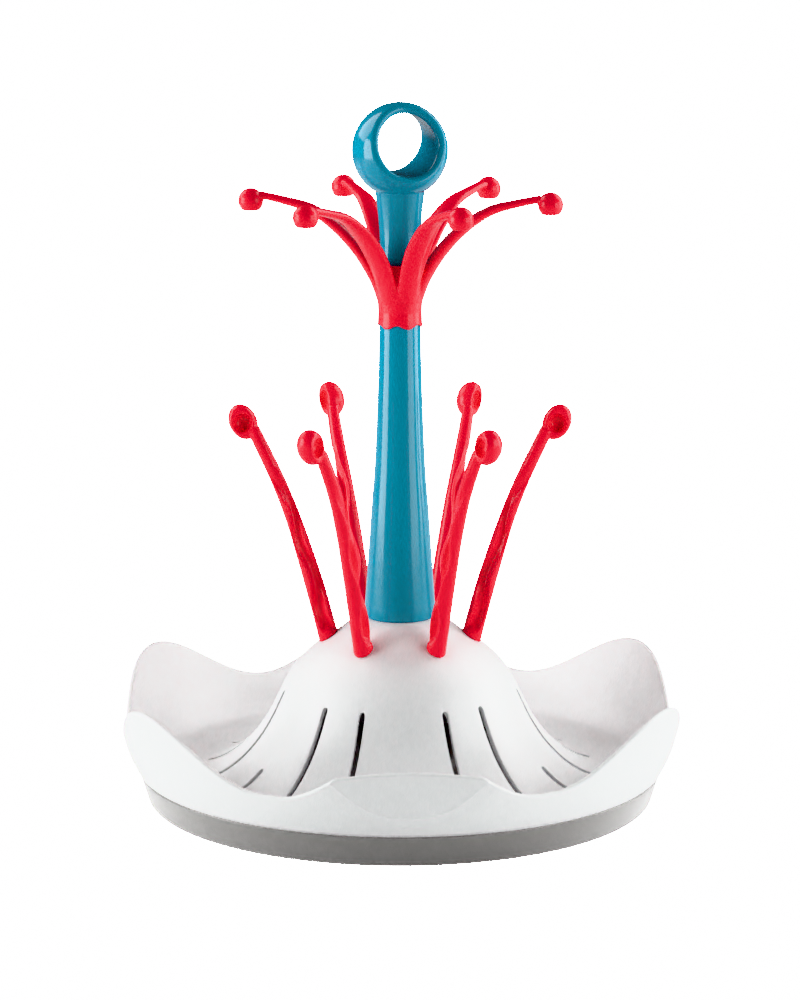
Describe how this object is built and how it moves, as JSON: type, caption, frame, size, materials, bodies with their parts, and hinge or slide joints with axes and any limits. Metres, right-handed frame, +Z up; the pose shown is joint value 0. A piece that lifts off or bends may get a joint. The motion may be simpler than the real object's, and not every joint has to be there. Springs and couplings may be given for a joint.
{
  "type": "bottle drying rack",
  "caption": "Round bottle drying rack: petal-rimmed drainer bowl with a domed centre on a drip tray, leaning pegs, a tapered trunk, a crown of branches and a ring handle.",
  "frame": {"origin": "centre of the drip tray's underside, on the surface it stands on", "axes": "+Z up along the trunk, -Y to the front petal with the flat facet, +X to the viewer's right"},
  "size_m": [0.2698, 0.275, 0.3391],
  "materials": {
    "tray_grey": "satin",
    "bowl_white": "semi-gloss",
    "blue_plastic": "gloss",
    "red_plastic": "semi-gloss"
  },
  "bodies": {
    "tray": {"drip_tray": "tray_grey"},
    "bowl": {"drainer_bowl": "bowl_white"},
    "trunk_body": {"trunk": "blue_plastic"},
    "crown": {"branch_crown": "red_plastic"},
    "handle_body": {"handle": "blue_plastic"},
    "peg_left_front_body": {"peg_left_front": "red_plastic"},
    "peg_left_middle_body": {"peg_left_middle": "red_plastic"},
    "peg_left_back_body": {"peg_left_back": "red_plastic"},
    "peg_right_front_body": {"peg_right_front": "red_plastic"},
    "peg_right_middle_body": {"peg_right_middle": "red_plastic"},
    "peg_right_back_body": {"peg_right_back": "red_plastic"}
  },
  "joints": [
    {"name": "drainer_lift", "type": "slide", "parent": "tray", "child": "bowl", "axis": [0, 0, 1], "range_m": [0, 0.1]},
    {"name": "trunk_lift", "type": "slide", "parent": "bowl", "child": "trunk_body", "axis": [0, 0, 1], "range_m": [0, 0.04]},
    {"name": "crown_turn", "type": "hinge", "parent": "trunk_body", "child": "crown", "pos_m": [0, 0, 0.2339], "axis": [0, 0, 1], "continuous": true},
    {"name": "handle_lift", "type": "slide", "parent": "crown", "child": "handle_body", "axis": [0, 0, 1], "range_m": [0, 0.06]},
    {"name": "peg_left_front_pull", "type": "slide", "parent": "bowl", "child": "peg_left_front_body", "axis": [-0.1372, -0.2195, 0.9659], "range_m": [0, 0.03]},
    {"name": "peg_left_middle_pull", "type": "slide", "parent": "bowl", "child": "peg_left_middle_body", "axis": [-0.2587, 0.009, 0.9659], "range_m": [0, 0.03]},
    {"name": "peg_left_back_pull", "type": "slide", "parent": "bowl", "child": "peg_left_back_body", "axis": [-0.1215, 0.2285, 0.9659], "range_m": [0, 0.03]},
    {"name": "peg_right_front_pull", "type": "slide", "parent": "bowl", "child": "peg_right_front_body", "axis": [0.1215, -0.2285, 0.9659], "range_m": [0, 0.03]},
    {"name": "peg_right_middle_pull", "type": "slide", "parent": "bowl", "child": "peg_right_middle_body", "axis": [0.2587, -0.009, 0.9659], "range_m": [0, 0.03]},
    {"name": "peg_right_back_pull", "type": "slide", "parent": "bowl", "child": "peg_right_back_body", "axis": [0.1372, 0.2195, 0.9659], "range_m": [0, 0.03]}
  ]
}
